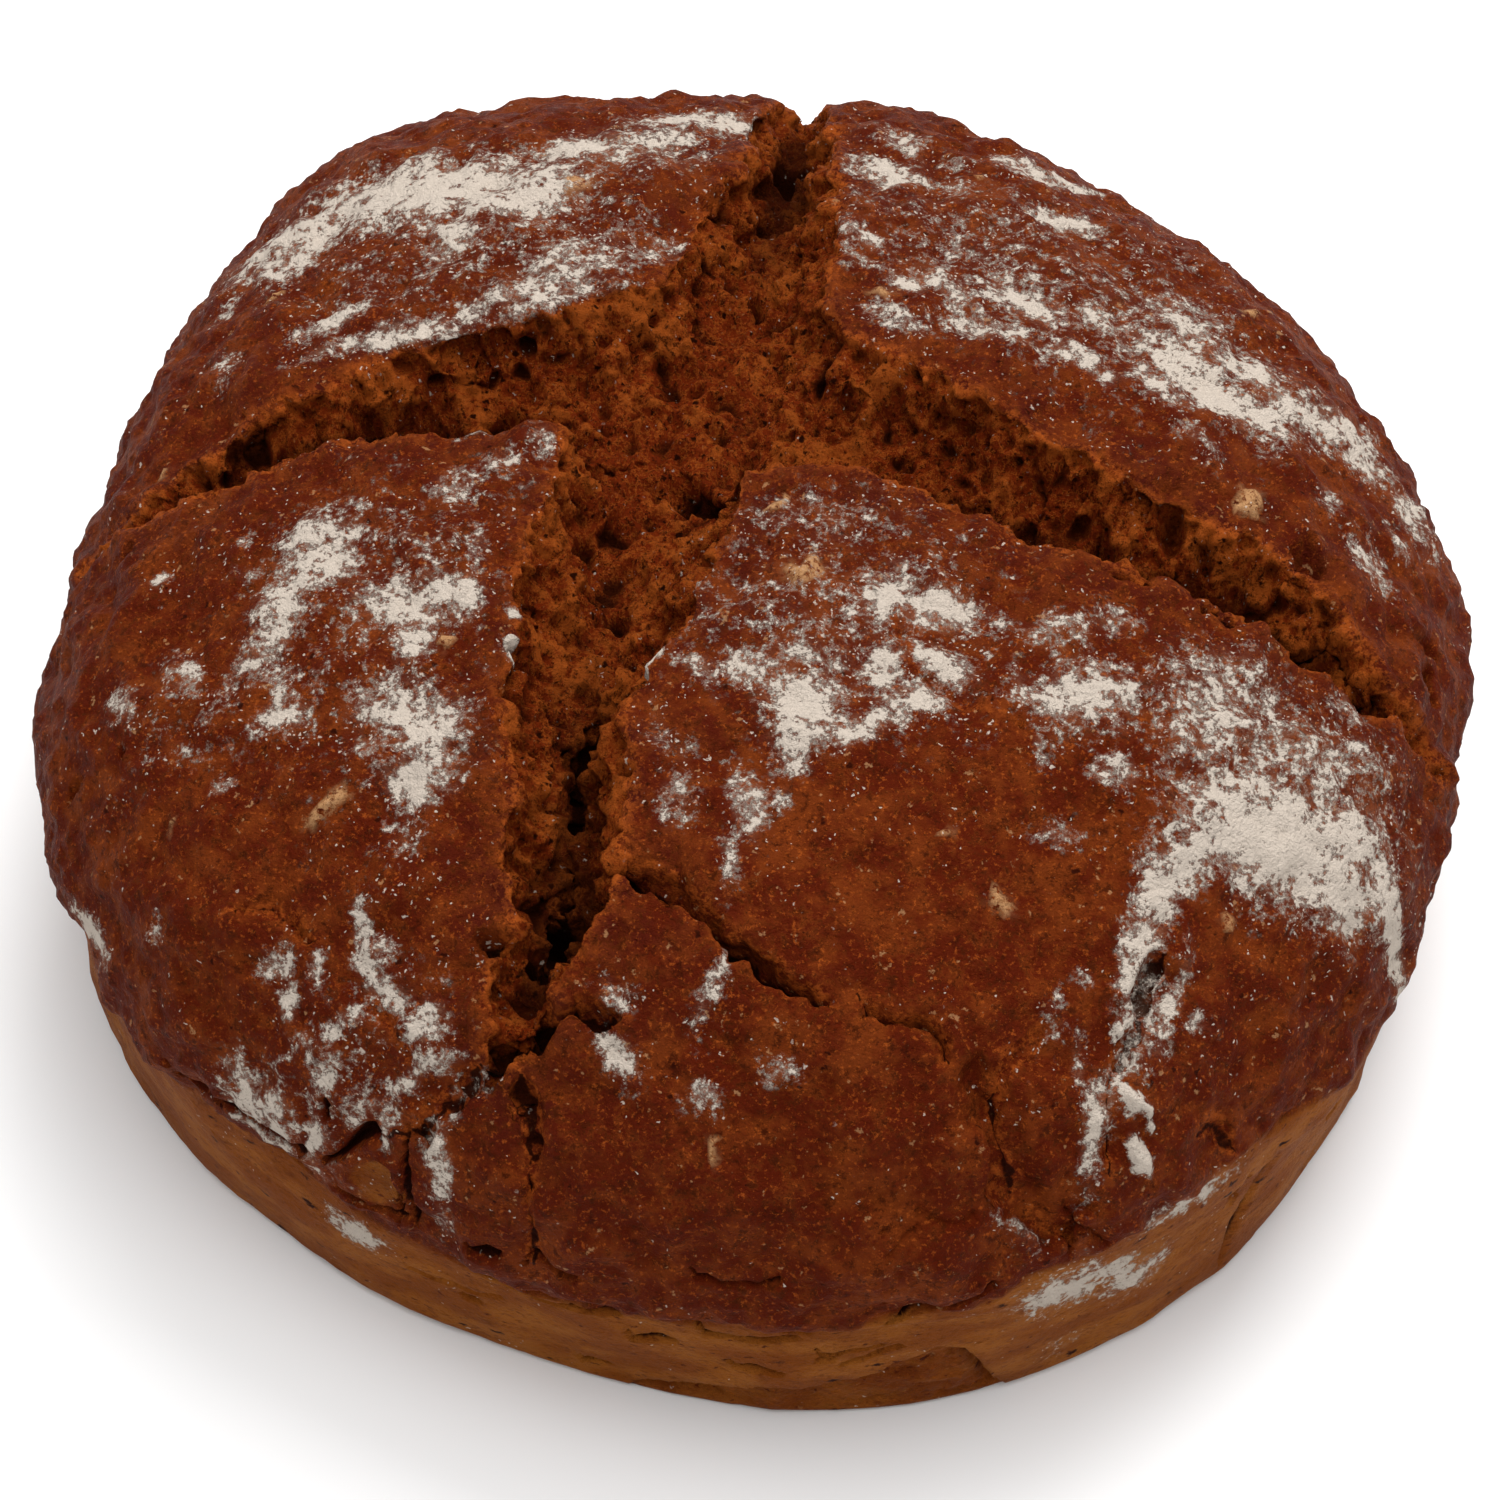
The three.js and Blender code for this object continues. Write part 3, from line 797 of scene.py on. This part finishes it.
# Wall: paler and evener, with faint scorching; its pinholes, creases and the valley's depth are darkened as
# painted shade.
wall_colour = blend(step(specks(14, 4, 0.6, (1, 1, 2)), 0.40, 0.62), WALL, WALL_PALE)
scorching = times(step(specks(0.9, 4, 0.75, (0.7, 0.7, 1.5)), 0.50, 0.66), 0.55)
wall_colour = blend(scorching, wall_colour, WALL_DARK)
wall_colour = blend(times(step(specks(5, 4, 0.7, (0.5, 0.5, 1.6)), 0.58, 0.72), 0.5), wall_colour, WALL_DARK)
# Painted shade: pinholes as small dark dots.
wall_colour = blend(dots(1.5, 0.20, 0.28, (0.7, 0.7, 1.3)), wall_colour, WALL_DARK)
wall_colour = blend(dots(3.8, 0.16, 0.45, (0.6, 0.6, 1.5)), wall_colour, CRUST_DARK)
# Painted shade in the wall's creases, fold and torn patch.
wall_colour = blend(step(relief_share, -0.5, -1.3), wall_colour, CRUST_DARK)
# Painted shade deep in the cross's valley.
wall_colour = blend(times(deep, 0.8), wall_colour, CRUST_DARK)

colour = blend(share("wall"), crust_colour, wall_colour)
colour = blend(share("crumb"), colour, crumb_colour)
# Gold along the torn edges: partly torn crumb, partly a painted highlight.
torn_edge_gold_and_highlight = times(share("edge"), step(specks(1.2, 4, 0.75), 0.44, 0.55), 0.85)
colour = blend(torn_edge_gold_and_highlight, colour, CRUMB_GOLD)
# Painted shade laid over the splits, creases, crevice and holes.
colour = blend(times(recess_shade, 0.9), colour, CRACK_SHADE)
husk = blend(times(step(specks(0.7, 4, 0.8), 0.50, 0.60), 0.65), BRAN, BRAN_DARK)
colour = blend(times(share("bran"), step(specks(1.0, 3, 0.7), 0.36, 0.48)), colour, husk)

# Flour is thick where chunks of it lie, and thins out into grains and a dusty film.
coverage = share("flour")
present = step(coverage, 0.06, 0.30)
clumps = specks(2.2, 8, 0.74)
grain = specks(0.8, 3, 0.65)
heap = total(coverage, times(clumps, 2.9), times(grain, 1.1))
thick = times(step(heap, 2.53, 2.63), present)
dusted = times(step(heap, 2.30, 2.58), present, 0.32)
film = times(step(coverage, 0.15, 0.80), step(specks(1.7, 4, 0.7), 0.34, 0.62), 0.35)
near_flour = step(total(coverage, times(specks(12, 3), 0.8)), 0.38, 0.85)
fine_grains = dots(0.7, 0.24, times(near_flour, 0.4))
grains = times(math_of("MAXIMUM", fine_grains, dots(1.3, 0.20, times(near_flour, 0.2))), 0.7)
strays = times(dots(1.7, 0.12, 0.18), step(specks(14, 3), 0.42, 0.62), 0.55)
colour = blend(film, colour, FLOUR_FILM)
colour = blend(math_of("MAXIMUM", dusted, math_of("MAXIMUM", grains, strays)), colour, FLOUR)
colour = blend(times(thick, 0.96), colour, FLOUR)
tree.links.new(colour, shader.inputs["Base Color"])
shader.inputs["Roughness"].default_value = 0.5
shader.inputs["IOR"].default_value = 1.15
shader.inputs["Specular IOR Level"].default_value = 0.2

# Fine bumps, too small for the mesh.
pebbles = total(specks(1.2, 5, 0.75), times(specks(0.5, 2), 0.3))
threads = times(share("crumb"), total(times(specks(0.8, 5, 0.85, (1, 1, 0.6)), 3), times(strands, 0.4)))
sand = times(share("wall"), specks(0.5, 3, 0.8), 0.8)
chunks = times(thick, total(grain, clumps, 0.4), 0.9)
bump = node("ShaderNodeBump")
bump.inputs["Distance"].default_value = 1.1 * MM
bump.inputs["Strength"].default_value = 0.9
tree.links.new(total(pebbles, threads, sand, chunks), bump.inputs["Height"])
tree.links.new(bump.outputs["Normal"], shader.inputs["Normal"])
loaf.data.materials.clear()
loaf.data.materials.append(bread)

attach(loaf, "root")
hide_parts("loaf")


# ---- Floor, light and camera ---------------------------------------------------------------------
# A plain pale floor under the loaf, a soft light from the back right and another from above, and a
# camera that looks down at the loaf from the front.

floor_sheet = bmesh.new()
bmesh.ops.create_grid(floor_sheet, x_segments=1, y_segments=1, size=3)
floor_mesh = bpy.data.meshes.new("floor")
floor_sheet.to_mesh(floor_mesh)
floor_sheet.free()
floor = bpy.data.objects.new("floor", floor_mesh)
bpy.context.scene.collection.objects.link(floor)
floor_paint = bpy.data.materials.new("pale_floor")
floor_paint.use_nodes = True
floor_paint.node_tree.nodes["Principled BSDF"].inputs["Base Color"].default_value = (0.9, 0.9, 0.9, 1)
floor_paint.node_tree.nodes["Principled BSDF"].inputs["Roughness"].default_value = 0.9
floor_mesh.materials.append(floor_paint)

world = bpy.data.worlds.new("studio")
world.use_nodes = True
world.node_tree.nodes["Background"].inputs["Color"].default_value = (1, 1, 1, 1)
world.node_tree.nodes["Background"].inputs["Strength"].default_value = 0.5
bpy.context.scene.world = world


def softbox(name, place, size, power):
    light = bpy.data.lights.new(name, "AREA")
    light.size = size
    light.energy = power
    lamp = bpy.data.objects.new(name, light)
    lamp.location = place
    lamp.rotation_euler = (Vector((0, 0, 0.03)) - Vector(place)).to_track_quat("-Z", "Y").to_euler()
    bpy.context.scene.collection.objects.link(lamp)


softbox("window", (0.25, 0.6, 1.0), 0.7, 10)
softbox("ceiling", (0.05, -0.15, 1.3), 1.2, 12)

ELEVATION = math.radians(52)  # how far above level the camera looks down from
DISTANCE = 0.52
AIM = Vector((-middle[0], -middle[1], 30)) * MM
AIM_DROP = math.radians(0.89)  # the loaf's middle sits a little above the middle of the view
camera_data = bpy.data.cameras.new("camera")
camera_data.lens = 87.8
camera_data.sensor_width = 36
camera = bpy.data.objects.new("camera", camera_data)
camera.location = AIM + DISTANCE * Vector((0, -math.cos(ELEVATION), math.sin(ELEVATION)))
camera.rotation_euler = Euler((math.pi / 2 - ELEVATION - AIM_DROP, 0, 0))
bpy.context.scene.collection.objects.link(camera)
bpy.context.scene.camera = camera
bpy.context.scene.view_settings.view_transform = "Standard"
